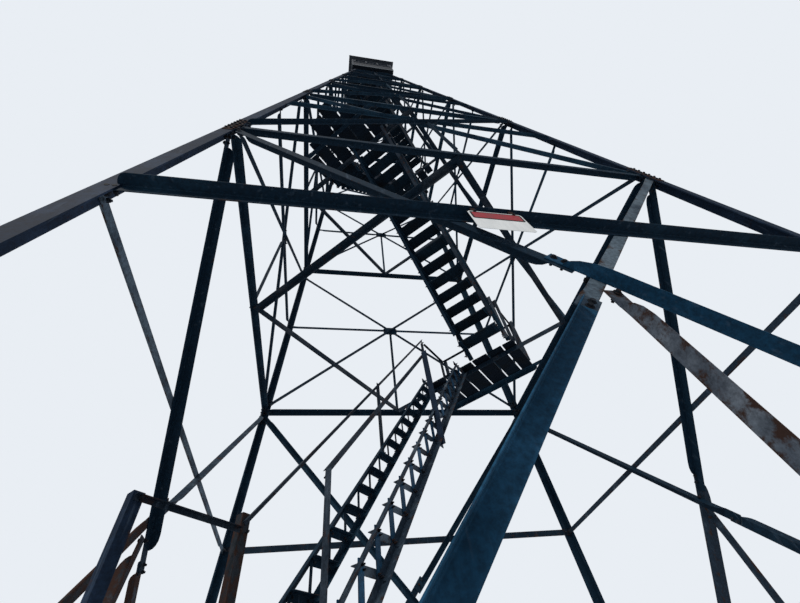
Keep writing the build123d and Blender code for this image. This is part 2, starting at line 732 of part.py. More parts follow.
high_rails = flight_rail(flights[2], WIDE_RIGHT, 1, first_edge - 25, -e[0] + 40, [1300.0, 60.0, -1120.0])
high_rails = high_rails + flight_rail(flights[3], WIDE_LEFT, -1, -e[0], e[1] - 120, [-1080.0, -120.0, 800.0])
high_rails = high_rails + flight_rail(flights[4], HIGH_RIGHT, 1, e[1] - 20, 140 - e[2], [880.0, -560.0])
high_rails = high_rails + flight_rail(flights[5], TOP_LEFT, -1, -e[2], e[3] - 180, [-700.0, 340.0])
high_rails = high_rails + flight_rail(flights[6], TOP_RIGHT, 1, e[3] - 40, 10.0, [480.0, 50.0])
save("handrails_high", high_rails)

# Write the cab
save("cab_joists", cab_joists())
save("cab_floor", [cab_floor()])
save("cab_hatch", [hatch_box(HATCH_CLEAR, FLOOR_THICK, cab_floor_height() + GAP)])
for name, turn in FACES.items():
    length = 2 * CAB_HALF if turn in (0, 180) else 2 * (CAB_HALF - WALL_THICK - GAP)
    save("cab_wall_" + name, [Rot(0, 0, turn) * cab_wall(length)])
save("cab_glass", cab_glass())
save("cab_roof", [cab_roof()])
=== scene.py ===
import math
import random
import bpy
from mathutils import Matrix, Vector


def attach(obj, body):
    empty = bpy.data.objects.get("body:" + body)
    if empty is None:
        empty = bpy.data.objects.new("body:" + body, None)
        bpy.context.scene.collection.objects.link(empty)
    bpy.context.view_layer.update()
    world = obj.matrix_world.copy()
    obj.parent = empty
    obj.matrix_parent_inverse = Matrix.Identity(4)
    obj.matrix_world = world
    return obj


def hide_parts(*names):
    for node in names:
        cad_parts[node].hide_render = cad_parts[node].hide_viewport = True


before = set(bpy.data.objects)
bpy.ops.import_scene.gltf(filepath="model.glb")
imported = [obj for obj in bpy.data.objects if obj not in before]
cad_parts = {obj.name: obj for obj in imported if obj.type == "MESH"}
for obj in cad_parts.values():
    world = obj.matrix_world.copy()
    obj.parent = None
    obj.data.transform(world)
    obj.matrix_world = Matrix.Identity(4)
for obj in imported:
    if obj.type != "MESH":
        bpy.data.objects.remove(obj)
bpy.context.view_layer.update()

scene = bpy.context.scene

# The camera stands at the foot of the tower, just outside the near face, and looks steeply up.
# Place and turn were solved from the legs and joints in the photograph.
right = Vector((0.98375, -0.14675, -0.10349))
up = Vector((-0.05027, -0.77834, 0.62583))
back = right.cross(up)
eye = Vector((-1.2003, -3.3478, 1.8569))
camera_data = bpy.data.cameras.new("camera")
camera_data.sensor_width = 36
camera_data.lens = 17.534
camera_data.clip_end = 200
camera = bpy.data.objects.new("camera", camera_data)
camera.matrix_world = Matrix((
    (right.x, up.x, back.x, eye.x),
    (right.y, up.y, back.y, eye.y),
    (right.z, up.z, back.z, eye.z),
    (0, 0, 0, 1)))
scene.collection.objects.link(camera)
scene.camera = camera
scene.view_settings.view_transform = "Standard"


# Legs: four leaning corners of rolled steel angle, galvanised in a bath and weathered for decades,
# in lengths that step down in size, on base plates. They stay as the solids are, with this finish.
def linear(code):
    """sRGB hex to the linear colour that shaders use."""
    values = []
    for i in (0, 2, 4):
        c = int(code[i:i + 2], 16) / 255
        values.append(c / 12.92 if c <= 0.04045 else ((c + 0.055) / 1.055) ** 2.4)
    return (*values, 1.0)


def add(tree, kind, inputs=(), out=0, **settings):
    """Adds a node with its settings and links, and gives the output that the next node takes.

    An input is a socket to link, a number, or a hex code for a colour. out is the output's number or name.
    """
    node = tree.nodes.new("ShaderNode" + kind)
    for key, value in settings.items():
        setattr(node, key, value)
    for key, value in dict(inputs).items():
        if isinstance(value, bpy.types.NodeSocket):
            tree.links.new(value, node.inputs[key])
        else:
            node.inputs[key].default_value = linear(value) if isinstance(value, str) else value
    return node.outputs[out] if node.outputs else None


def new_material(name):
    """Empty material and its node tree."""
    material = bpy.data.materials.new(name)
    material.use_nodes = True
    material.node_tree.nodes.clear()
    return material, material.node_tree


# Colour inputs and output of the Mix node, which has a set of sockets for each kind of data
FIRST, SECOND, BLEND = 6, 7, 2


def weathered_steel(name, dark, pale, rust, rust_from, pale_from):
    """Old hot-dip zinc: dull slate blue with paler patches, and brown rust from the edges inward. The dark and pale
    colours are written darker and bluer than grey zinc: painted shade and painted blue sky light.

    Patches are about 320 mm across, rain streaks 30 mm wide and 380 mm long, and rust spots 90 mm.
    The mottle is drawn at 22 mm, where real zinc flakes are 5 mm, so that it shows from the ground.
    pale_from and rust_from are where in their noise the paler zinc and the rust begin.
    """
    material, tree = new_material(name)
    place = add(tree, "TexCoord", out="Object")
    patches = add(tree, "TexNoise", {"Vector": place, "Scale": 3.1, "Detail": 5.0, "Roughness": 0.62})
    mottle = add(tree, "TexNoise", {"Vector": place, "Scale": 46.0, "Detail": 4.0, "Roughness": 0.7})
    long = add(tree, "Mapping", {"Vector": place, "Scale": (34.0, 34.0, 2.6)})
    streaks = add(tree, "TexNoise", {"Vector": long, "Scale": 1.0, "Detail": 3.0})
    rusting = add(tree, "TexNoise", {"Vector": place, "Scale": 11.0, "Detail": 7.0, "Roughness": 0.72})
    tone = add(tree, "Attribute", out="Fac", attribute_name="tone")
    wear = add(tree, "Attribute", out="Fac", attribute_name="wear")

    # The blend of dark and pale carries painted shade and painted blue sky light besides the zinc's own patches
    field = add(tree, "Math", {0: tone, 1: 0.16, 2: patches}, operation="MULTIPLY_ADD")
    share = add(tree, "MapRange", {0: field, 1: pale_from, 2: pale_from + 0.26})
    colour = add(tree, "Mix", {0: share, FIRST: dark, SECOND: pale}, BLEND, data_type="RGBA")
    deep = add(tree, "Mix", {0: 0.45, FIRST: colour, SECOND: "070c13"}, BLEND, data_type="RGBA")
    share = add(tree, "MapRange", {0: mottle, 1: 0.62, 2: 0.36})
    colour = add(tree, "Mix", {0: share, FIRST: colour, SECOND: deep}, BLEND, data_type="RGBA")
    washed = add(tree, "Mix", {0: 0.3, FIRST: colour, SECOND: "6d7f94"}, BLEND, data_type="RGBA")
    share = add(tree, "MapRange", {0: streaks, 1: 0.6, 2: 0.86})
    colour = add(tree, "Mix", {0: share, FIRST: colour, SECOND: washed}, BLEND, data_type="RGBA")

    edge = add(tree, "Math", {0: wear, 1: 3.0}, operation="POWER")
    spread = add(tree, "Math", {0: edge, 1: 0.09, 2: rusting}, operation="MULTIPLY_ADD")
    rusted = add(tree, "MapRange", {0: spread, 1: rust_from, 2: rust_from + 0.1})
    brown = add(tree, "Mix", {0: mottle, FIRST: rust, SECOND: "382924"}, BLEND, data_type="RGBA")
    colour = add(tree, "Mix", {0: rusted, FIRST: colour, SECOND: brown}, BLEND, data_type="RGBA")
    rough = add(tree, "MapRange", {0: rusted, 3: 0.68, 4: 0.92})
    height = add(tree, "Math", {0: mottle, 1: 0.5, 2: rusted}, operation="MULTIPLY_ADD")
    bump = add(tree, "Bump", {"Height": height, "Strength": 0.25, "Distance": 0.002})
    shader = add(tree, "BsdfPrincipled", {"Base Color": colour, "Roughness": rough, "Metallic": 0.05,
                                          "Specular IOR Level": 0.1, "Normal": bump})
    add(tree, "OutputMaterial", {0: shader})
    return material


def give_finish(node, finish):
    """Puts a finish on a solid that shows as it was packed."""
    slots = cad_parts[node].data.materials
    slots.clear()
    slots.append(finish)


# Copies of one galvanised steel, each darker or lighter by how lit its members are: the dark copies carry painted
# shade, the paler ones painted light
steel_shade_dark = weathered_steel("galvanised_shade_dark", "0f2638", "1f3d52", "2b2223", 0.66, 0.5)
steel_leg = weathered_steel("galvanised_leg", "14253a", "2a3d57", "33292a", 0.63, 0.5)
# The far legs take the dark copy, the near ones a lighter one: painted shade on the far legs
for node in ("leg_far_right", "leg_far_left"):
    give_finish(node, steel_shade_dark)
for node in ("leg_near_right", "leg_near_left", "foot_plates"):
    give_finish(node, steel_leg)


# Girts: one steel angle above the bottom crossing of each face and one at every even level, with
# ends pressed flat and bolted behind the leg flanges.
BASE_HALF = 2.781   # from the axis to a face at the ground
TAPER = 0.09966     # how far a face leans in over a metre of height
SLANT = math.sqrt(1 + TAPER * TAPER)
LEVELS = (0, 3.892, 5.830, 7.619, 9.372, 10.993, 12.582, 14.080, 15.490, 16.852, 18.126, 19.338, 20.504)
LEGS = ((4, 0.102, 0.010), (8, 0.089, 0.008), (12, 0.076, 0.0064))   # up to level, flange, thickness
FACES = (("near", 0), ("right", 90), ("far", 180), ("left", 270))
GAP = 0.0003        # left between pieces that bear
GIRT = 0.076
GIRT_THICK = 0.006
GIRT_IN = 0.020     # from the edge of the face to the end of a girt
FIRST_BOLT = 0.03   # from the end of a bar to its first bolt
SHOULDER = (0.04, 0.14, 0.32, 0.6, 1.0)   # stations along the rounded shoulder of a pressed end

# More darker and lighter copies of the same steel: painted shade and painted light
steel_plan = weathered_steel("galvanised_plan", "142636", "464b53", "33292a", 0.57, 0.49)
steel_grey = weathered_steel("galvanised_grey", "263545", "5b6b79", "352a27", 0.58, 0.43)
steel_bolt = weathered_steel("bolt_steel", "171c24", "343b45", "2c2120", 0.52, 0.46)
chance = random.Random(7)


def gather():
    """Empty lists for the points and faces of one piece."""
    return {"points": [], "faces": [], "finishes": [], "wear": [], "tone": []}


def put(parts, points, faces, finish, wear=None, tone=0.0):
    """Adds points and faces, with wear 0 to 1 for each point."""
    start = len(parts["points"])
    parts["points"].extend(points)
    parts["faces"].extend([[start + i for i in face] for face in faces])
    parts["finishes"].extend([finish] * len(faces))
    parts["wear"].extend(wear if wear else [0.0] * len(points))
    parts["tone"].extend([tone] * len(points))


def make(name, parts, replaced=()):
    """One joined mesh that rides on the tower and stands for the CAD nodes named."""
    mesh = bpy.data.meshes.new(name)
    mesh.from_pydata([tuple(p) for p in parts["points"]], [], parts["faces"])
    order = {finish: i for i, finish in enumerate(dict.fromkeys(parts["finishes"]))}
    for finish in order:
        mesh.materials.append(finish)
    mesh.polygons.foreach_set("material_index", [order[finish] for finish in parts["finishes"]])
    for key in ("wear", "tone"):
        layer = mesh.attributes.new(key, "FLOAT", "POINT")
        layer.data.foreach_set("value", parts[key])
    mesh.validate()
    obj = bpy.data.objects.new(name, mesh)
    scene.collection.objects.link(obj)
    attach(obj, "root")
    if replaced:
        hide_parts(*replaced)


def frame_at(origin, x_dir, z_dir):
    """Matrix with the given place, X and Z directions."""
    x = Vector(x_dir).normalized()
    z = Vector(z_dir).normalized()
    y = z.cross(x)
    o = Vector(origin)
    return Matrix(((x.x, y.x, z.x, o.x), (x.y, y.y, z.y, o.y), (x.z, y.z, z.z, o.z), (0, 0, 0, 1)))


def rolled_angle(parts, m, length, size, thick, finish, edge, out=False, flat=(0, 0), swell=0.0,
                 sunlit_end=None):
    """Length of steel angle along X of m, one flange flat under z 0, the other along its edge.

    edge is the side of the standing flange, +1 or -1 of Y. It turns inward, or outward with out.
    The ends are pressed flat over the lengths in flat, and swell back in a rounded shoulder.
    """
    def still_flat(x):
        return 1 - math.sqrt(1 - (1 - x) ** 2)

    stations = [(0.0, 0.0)]
    if flat[0] > 0:
        stations = [(0.0, 1.0), (flat[0], 1.0)]
        stations += [(flat[0] + swell * x, still_flat(x)) for x in SHOULDER]
    if flat[1] > 0:
        stations += [(length - flat[1] - swell * x, still_flat(x)) for x in SHOULDER[::-1]]
        stations += [(length - flat[1], 1.0), (length, 1.0)]
    else:
        stations.append((length, 0.0))
    toe = 0.35 * thick
    w = size / 2
    points = []
    wear = []
    for s, pressed in stations:
        high = max(size * (1 - pressed), thick * 1.04)
        fillet = min(thick, 0.5 * (high - thick))
        wide = w + 0.1 * size * pressed
        inside = wide - thick
        section = [
            (-w, -toe, 1), (-w + toe, 0, 1), (0, 0, 0), (wide - toe * 0.5, 0, 1), (wide, -toe * 0.5, 1),
            (wide, -high / 2, 0), (wide, -high, 1), (inside + toe, -high, 1), (inside, -high + toe, 1),
            (inside, -thick - fillet, 0), (inside - 0.3 * fillet, -thick - 0.3 * fillet, 0),
            (inside - fillet, -thick, 0), (0, -thick, 0), (-w, -thick, 1),
        ]
        for y, z, worn in section:
            points.append(m @ Vector((s, y * edge, -thick - z if out else z)))
            wear.append(worn)
    n = len(section)
    last = (len(stations) - 1) * n
    faces = []
    for i in range(len(stations) - 1):
        for j in range(n):
            k = (j + 1) % n
            faces.append([(i + 1) * n + j, (i + 1) * n + k, i * n + k, i * n + j])
    faces += [list(range(n)), list(range(last, last + n))[::-1]]
    if (edge < 0) != out:
        faces = [face[::-1] for face in faces]
    put(parts, points, faces, finish, wear, chance.uniform(-1, 1))
    # A paler finish on the first pressed end: painted light on the flat, beside the shaded trough of the angle
    if sunlit_end:
        start = len(parts["finishes"]) - len(faces)
        parts["finishes"][start:start + 2 * n] = [sunlit_end] * (2 * n)


def plate(parts, m, wide, high, thick, finish, corner=0.0, tone=None):
    """Flat plate centred on m, its outer side at z 0, its corners cut if corner is given."""
    x, y, c = wide / 2, high / 2, corner
    outline = [(-x, -y), (x, -y), (x, y), (-x, y)]
    if c:
        outline = [(-x + c, -y), (x - c, -y), (x, -y + c), (x, y - c), (x - c, y), (-x + c, y), (-x, y - c),
                   (-x, -y + c)]
    n = len(outline)
    points = [m @ Vector((*p, 0)) for p in outline] + [m @ Vector((*p, -thick)) for p in outline]
    faces = [list(range(n)), list(range(2 * n - 1, n - 1, -1))]
    faces += [[j, n + j, n + (j + 1) % n, (j + 1) % n] for j in range(n)]
    wear = [1.0] * len(points) if c else None
    put(parts, points, faces, finish, wear, chance.uniform(-1, 1) if tone is None else tone)


def bolt(parts, m, grip, across=0.024):
    """Hexagon head and washer at z 0 of m, nut and thread end below the grip."""
    turn = chance.uniform(0, 1)

    def drum(sides, radius, low, high, taper=1.0):
        ring = [2 * math.pi * (j / sides + turn / sides) for j in range(sides)]
        points = [m @ Vector((radius * math.cos(a), radius * math.sin(a), low)) for a in ring]
        points += [m @ Vector((radius * taper * math.cos(a), radius * taper * math.sin(a), high)) for a in ring]
        faces = [[j, (j + 1) % sides, sides + (j + 1) % sides, sides + j] for j in range(sides)]
        faces += [list(range(sides))[::-1], [sides + j for j in range(sides)]]
        put(parts, points, faces, steel_bolt, None, chance.uniform(-1, 1))

    hexagon = across / 2 / math.cos(math.pi / 6)
    washer, head, nut, thread = 0.0025, 0.0125, 0.013, 0.024
    drum(10, across * 0.82, 0, washer)
    drum(6, hexagon, washer, head, 0.9)
    drum(6, hexagon, -grip, -grip - nut)
    drum(8, across * 0.32, -grip - nut, -grip - thread)


def half(z):
    """From the axis to a face at a height."""
    return BASE_HALF - TAPER * z


def leg_at(z):
    """Flange width and thickness of the leg at a height."""
    for top, size, thick in LEGS:
        if z <= LEVELS[top] + 0.001:
            return size, thick
    return LEGS[-1][1:]


def behind_leg(z):
    """Depth inside the face's plane of a bar that bears on the leg flanges."""
    return leg_at(z)[1] + GAP


def face_matrix(turn):
    """Leaning plane of one face: X along it, Y up it, Z outward."""
    flat = frame_at((0, -BASE_HALF, 0), (1, 0, 0), (0, -1, TAPER))
    return Matrix.Rotation(math.radians(turn), 4, "Z") @ flat


def on_face(face, x, z, depth):
    """Matrix on a face at (along, height), a depth inside its plane."""
    return face @ Matrix.Translation((x, z * SLANT, -depth))


def turn_of(p, q):
    """Turn in the face's plane of a line from p to q, each (along, height)."""
    return Matrix.Rotation(math.atan2((q[1] - p[1]) * SLANT, q[0] - p[0]), 4, "Z")


def face_bar(parts, face, p, q, depth, size, thick, edge, out, flat, swell, finish=steel_shade_dark, bolts=(2, 2),
             grip=0.020, pitch=0.06, sunlit_end=None):
    """Angle in a face from p to q, each (along, height), with bolts in its flat ends."""
    length = math.hypot(q[0] - p[0], (q[1] - p[1]) * SLANT)
    m = on_face(face, *p, depth) @ turn_of(p, q)
    rolled_angle(parts, m, length, size, thick, finish, edge, out, flat, swell, sunlit_end)
    head = depth if depth < 0.02 and not out else 0.0   # on the leg flange, or on the bar itself
    for at_end, count in enumerate(bolts):
        for i in range(count):
            s = FIRST_BOLT + pitch * i
            bolt(parts, m @ Matrix.Translation((length - s if at_end else s, 0, head)), grip)


for name, turn in FACES:
    face = face_matrix(turn)
    parts = gather()
    low = LEVELS[1]
    reach = half(low) - GIRT_IN
    # Near girt in the dark copy, side girts in the grey one: painted shade and painted light
    size, finish = {"near": (GIRT, steel_shade_dark), "far": (GIRT, steel_plan)}.get(name, (0.054, steel_grey))
    face_bar(parts, face, (-reach, low), (reach, low), behind_leg(low), size, GIRT_THICK, 1, True,
             (0.06, 0.06), 0.05, finish, pitch=0.035)
    for level in LEVELS[2::2]:
        reach = half(level) - GIRT_IN
        z = level - GIRT / 2 / SLANT
        face_bar(parts, face, (-reach, z), (reach, z), behind_leg(level), GIRT, GIRT_THICK, 1, False,
                 (0.075, 0.075), 0.07)
    make("girt_angles_" + name, parts, ["girts_" + name])


# Bottom panel of each face: four heavy half diagonals and a middle post of steel angle. They lie in
# two layers behind the leg flanges, and their pressed ends are bolted together near the middle.
HEAVY = 0.076
HEAVY_THICK = 0.006
HEAVY_GRIP = 0.022
HEAVY_IN = 0.067    # from the edge of the face to the end of a half diagonal
PAD = 0.066         # along a bar, of the pad where it skips a layer
# The half diagonals in this order: upper right, upper left, lower right, lower left
AIMS = (3.205, 3.290, 3.328, 3.186)     # height at which each one meets the middle line
ENDS = (-0.270, 0.060, -0.190, 0.165)   # where it ends, short of that point or, below zero, past it
POST_X = 0.048

# Blue copy: painted blue sky light and highlight on the zinc
steel_blue_sky_lit = weathered_steel("galvanised_blue_sky_lit", "18425f", "2c5d80", "3a2d2b", 0.70, 0.46)
# Pale copy with rust: the rust is the steel's own, the paleness is painted sunlight
steel_rusty_sunlit = weathered_steel("galvanised_rusty_sunlit", "3c4552", "6c7683", "322624", 0.53, 0.42)
steel_brown = weathered_steel("galvanised_brown", "2a3037", "40424a", "3a2a27", 0.46, 0.45)
# Each bar takes a lighter or darker copy by how lit it is, and the whole far face takes the dark one: painted light
# and painted shade
bottom_finishes = {   # of the half diagonals and of the post
    "near": (steel_grey, steel_shade_dark, steel_blue_sky_lit, steel_blue_sky_lit, steel_rusty_sunlit),
    "right": (steel_shade_dark, steel_shade_dark, steel_grey, steel_shade_dark, steel_grey),
    "far": (steel_shade_dark, steel_shade_dark, steel_shade_dark, steel_shade_dark, steel_shade_dark),
    "left": (steel_shade_dark, steel_grey, steel_brown, steel_brown, steel_brown),
}


def aimed(end, n):
    """Inner end of half diagonal n, on the line from its end at the leg to its aim."""
    aim = AIMS[n]
    length = math.hypot(end[0], (end[1] - aim) * SLANT)
    return (end[0] * ENDS[n] / length, aim + (end[1] - aim) * ENDS[n] / length)


def bottom_panel(parts, face, finishes):
    """The lower pair of half diagonals laps over the ends of the upper pair."""
    outer = behind_leg(0)
    inner = outer + HEAVY_THICK + GAP
    head = LEVELS[2] - 0.136
    foot = 0.106
    head_x = half(head) - HEAVY_IN
    foot_x = half(foot) - HEAVY_IN

    for n, side in enumerate((1, -1)):
        end = (side * head_x, head)
        start = aimed(end, n)
        face_bar(parts, face, start, end, inner, HEAVY, HEAVY_THICK, side, False, (0.13, 0.11), 0.12, finishes[n],
                 (0, 2), HEAVY_GRIP)
        pad = on_face(face, *end, outer) @ turn_of(end, start) @ Matrix.Translation((PAD / 2, 0, 0))
        plate(parts, pad, PAD, 0.074, inner - outer, steel_shade_dark)

    end = (foot_x, foot)
    face_bar(parts, face, aimed(end, 2), end, outer, HEAVY, HEAVY_THICK, -1, True, (0.095, 0.13), 0.22, finishes[2],
             (2, 2), HEAVY_GRIP)

    # the lower left bar ends on a gusset of its own, inside the leg
    plate(parts, on_face(face, 0.012 - foot_x, foot + 0.06, inner), 0.15, 0.2, 0.008, steel_shade_dark, 0.03)
    for z in (foot, foot + 0.1):
        bolt(parts, on_face(face, -foot_x - 0.03, z, 0), 0.026)
    end = (0.035 - foot_x, foot - 0.040)
    # Its flat end is in the grey copy: painted light
    face_bar(parts, face, aimed(end, 3), end, outer, HEAVY, HEAVY_THICK, -1, True, (0.095, 0.13), 0.06, finishes[3],
             (2, 2), HEAVY_GRIP, 0.047, steel_grey)

    bolt(parts, on_face(face, 0.012, AIMS[2] - 0.03, outer), 0.03)
    edge = 1 if finishes[4] == steel_rusty_sunlit else -1
    face_bar(parts, face, (POST_X, 0.019), (POST_X, 3.155), inner, HEAVY, HEAVY_THICK, edge, True, (0, 0.13), 0.16,
             finishes[4], (0, 0), HEAVY_GRIP)
    bolt(parts, on_face(face, POST_X + 0.007, 3.130, outer), 0.03)


# Upper panels of each face: two light diagonals of steel angle that cross on a plate, a split girt
# from each leg to that plate, and a short hanger that stands on the girt below.
BRACE = 0.051
HANGER = 0.044
LIGHT_THICK = 0.005
BRACE_GRIP = 0.016
STRUT_GRIP = 0.012
BRACE_IN = 0.055   # from the edge of the face to the end of a diagonal or split girt
CLEAR = 0.0375     # from the middle of a diagonal to a bar that stops short of it


def upper_panel(parts, face, low, high):
    """From the girt at one height to the girt at the next."""
    outer = behind_leg(high)
    middle = outer + LIGHT_THICK + GAP
    inner = middle + LIGHT_THICK + GAP
    foot = low + 0.092
    head = high - 0.250
    foot_x = half(foot) - BRACE_IN
    head_x = half(head) - BRACE_IN
    face_bar(parts, face, (-foot_x, foot), (head_x, head), outer, BRACE, LIGHT_THICK, 1, True,
             (0.075, 0.055), 0.07, grip=BRACE_GRIP)
    start, end = (foot_x, foot), (-head_x, head)
    face_bar(parts, face, start, end, inner, BRACE, LIGHT_THICK, 1, False,
             (0.055, 0.055), 0.07, grip=BRACE_GRIP)
    for p, side in ((start, 1), (end, -1)):
        pad = on_face(face, *p, outer) @ turn_of(start, end) @ Matrix.Translation((side * PAD / 2, 0, 0))
        plate(parts, pad, PAD, 0.05, inner - outer, steel_shade_dark)

    cross = foot + (head - foot) * foot_x / (foot_x + head_x)
    slope = (head - foot) * SLANT / (foot_x + head_x)
    plate(parts, on_face(face, 0, cross - 0.012, middle), 0.27, 0.18, LIGHT_THICK, steel_shade_dark, 0.04)
    start_x = CLEAR / math.sin(math.atan(slope)) + BRACE / 2 / slope
    for side in (-1, 1):
        face_bar(parts, face, (side * (half(cross) - BRACE_IN), cross), (side * start_x, cross), outer, BRACE,
                 LIGHT_THICK, -side, True, (0.08, 0.045), 0.06, bolts=(1, 1), grip=STRUT_GRIP)
    drop = CLEAR * math.sqrt(1 + slope * slope) + HANGER / 2 * slope
    face_bar(parts, face, (0.0, low + GAP), (0.0, cross - drop / SLANT), outer, HANGER, LIGHT_THICK, 1, True,
             (0, 0.04), 0.05, bolts=(0, 1), grip=STRUT_GRIP)
    bolt(parts, on_face(face, 0, cross, outer), 0.018)


for name, turn in FACES:
    face = face_matrix(turn)
    parts = gather()
    bottom_panel(parts, face, bottom_finishes[name])
    for i in range(2, 12, 2):
        upper_panel(parts, face, LEVELS[i], LEVELS[i + 2])
    make("bracing_angles_" + name, parts, ["bracing_" + name])


# Bracing in plan: a square of thick steel angles at each even level, from mid side to mid side,
# bolted under the girts. It stays as the solids are.
give_finish("plan_bracing", steel_plan)


# Stairs: each flight hangs between two trusses of steel angle. Uprights and seat angles are bolted to
# the chords, and softwood planks lie on the seats. The two lowest flights have lost their planks.
ROOT2 = math.sqrt(2)
STAIR = Matrix.Rotation(math.radians(-45), 4, "Z")   # stair frame: X across a flight, Y along it
PLANK_THICK = 0.038
CHORD_THICK = 0.006
TRUSS_DEPTH = 0.144    # of a truss, over the height of one riser
TRUSS_HALF = 0.004     # half the thickness of a truss
UPRIGHT_THICK = 0.006
SEAT = 0.056
SEAT_THICK = 0.005
SEAT_OUT = 0.0045      # from the middle of a truss to the back of its seats
SEAT_BACK = 0.022      # how far a seat starts before its riser
SEAT_MORE = 0.055      # its length over that of a tread
LUG_THICK = 0.008
PLAN_BAR = 0.076
CORNER_EDGE = 0.096    # from the outer edge of the plan bracing to the first board of a landing
FOOT_IN = 0.045        # from the edge of a landing to the foot of the flight on it
FLOOR_THICK = 0.028
FIRST_DECK = 2.046     # height of the lowest landing
FIRST_NEAR = 1.400     # from the axis to the inner edge of its planks
WIDE_LEFT = -0.748     # X in the stair frame of the trusses, left and right of the middle
LEFT_INNER = -0.154
RIGHT_INNER = 0.022
WIDE_RIGHT = 0.682
HATCH_LOW = -0.410     # Y in the stair frame of the top of the stairs

# A darker copy for the stairs: painted shade
steel_stair = weathered_steel("galvanised_stair", "1b2836", "3e4a58", "33282a", 0.57, 0.48)


def old_wood(name, dark, pale, grain_axis, board=None):
    """Bare softwood planks coloured nearly black and blue: painted shade, with painted blue sky light in the paler
    grain; long grain lines, dark stains and joints between boards.

    Stains are about 250 mm across. Grain lines are drawn 14 mm wide and 200 mm long, where real ones
    are 2 mm wide, so that they show from the ground. board is the width of one board in metres.
    """
    material, tree = new_material(name)
    place = add(tree, "TexCoord", out="Object")
    stretch = {"X": (1.6, 24, 24), "Y": (24, 1.6, 24)}[grain_axis]
    turned = add(tree, "Mapping", {"Vector": place, "Rotation": (0, 0, math.radians(45))})
    along = add(tree, "Mapping", {"Vector": turned, "Scale": stretch})
    grain = add(tree, "TexNoise", {"Vector": along, "Scale": 3.0, "Detail": 8.0, "Roughness": 0.66})
    stain = add(tree, "TexNoise", {"Vector": place, "Scale": 4.0, "Detail": 3.0})
    tone = add(tree, "Attribute", out="Fac", attribute_name="tone")
    field = add(tree, "Math", {0: tone, 1: 0.12, 2: grain}, operation="MULTIPLY_ADD")
    share = add(tree, "MapRange", {0: field, 1: 0.38, 2: 0.75})
    colour = add(tree, "Mix", {0: share, FIRST: dark, SECOND: pale}, BLEND, data_type="RGBA")
    share = add(tree, "MapRange", {0: stain, 1: 0.45, 2: 0.75})
    colour = add(tree, "Mix", {0: share, FIRST: colour, SECOND: "0d1014"}, BLEND, data_type="RGBA")
    height = grain
    if board:
        across = add(tree, "SeparateXYZ", {0: turned}, "Y")
        count = add(tree, "Math", {0: across, 1: board}, operation="DIVIDE")
        part = add(tree, "Math", {0: count}, operation="FRACT")
        joint = add(tree, "MapRange", {0: part, 1: 0.05, 2: 0.0})
        colour = add(tree, "Mix", {0: joint, FIRST: colour, SECOND: "020304"}, BLEND, data_type="RGBA")
        height = add(tree, "Math", {0: joint, 1: -3.0, 2: grain}, operation="MULTIPLY_ADD")
    bump = add(tree, "Bump", {"Height": height, "Strength": 0.5, "Distance": 0.003})
    shader = add(tree, "BsdfPrincipled", {"Base Color": colour, "Roughness": 0.9, "Specular IOR Level": 0.1,
                                          "Normal": bump})
    add(tree, "OutputMaterial", {0: shader})
    return material


# Nearly black and blue: painted shade and painted sky light
wood_tread = old_wood("tread_wood", "05131f", "122534", "Y")


def plan_reach(z):
    """From the axis to the outer edge of the square of angles in plan."""
    return (half(z) - leg_at(z)[1] - GIRT_THICK - 2 * GAP) / ROOT2


def beam_inset(z):
    """From the face's plane to the end of the angle that crosses the corner under a landing."""
    return leg_at(z)[1] + 0.020


def beam_top(z):
    return z - beam_inset(z) * TAPER + GAP + 0.006


def deck(z):
    """Top of the planks of a landing at a level."""
    return beam_top(z) + GAP + PLANK_THICK


def plank(parts, m, long, wide, finish, thick=PLANK_THICK):
    """Board centred on m with worn edges, a little bowed and cupped."""
    stations = 7
    bow = chance.uniform(-1, 1) * 0.0022
    twist = chance.uniform(-1, 1) * 0.0015
    worn = 0.004     # width of the worn edge
    rounded = 0.0025
    cup = 0.0012
    points = []
    wear = []
    for i in range(stations):
        t = 2 * i / (stations - 1) - 1
        x = t * long / 2
        lift = -bow * t * t
        w = wide / 2 - chance.uniform(0, 0.0012)
        h = thick / 2 - rounded
        ring = [(-w + worn, -h), (w - worn, -h), (w, -h + worn), (w, h - worn), (w - worn, h), (0, h - cup),
                (-w + worn, h), (-w, h - worn), (-w, -h + worn)]
        for y, z in ring:
            points.append(m @ Vector((x, y, z + lift + twist * t * y / w)))
            wear.append(0.0 if y == 0 else 1.0)
    n = len(ring)
    faces = [[(i + 1) * n + j, (i + 1) * n + (j + 1) % n, i * n + (j + 1) % n, i * n + j]
             for i in range(stations - 1) for j in range(n)]
    faces += [list(range(n)), [(stations - 1) * n + j for j in range(n)][::-1]]
    put(parts, points, faces, finish, wear, chance.uniform(-1, 1))


def nails(parts, m, long, wide):
    """Two round nail heads near each end of a board, on its top."""
    ring = [2 * math.pi * j / 6 for j in range(6)]
    faces = [list(range(6))] + [[j, 6 + j, 6 + (j + 1) % 6, (j + 1) % 6] for j in range(6)]
    for end in (-1, 1):
        for side in (-0.3, 0.3):
            at = m @ Matrix.Translation((end * (long / 2 - 0.03), side * wide, PLANK_THICK / 2 - 0.0035))
            points = [at @ Vector((0.005 * math.cos(a), 0.005 * math.sin(a), z))
                      for z in (0.0018, -0.004) for a in ring]
            put(parts, points, faces, steel_bolt)


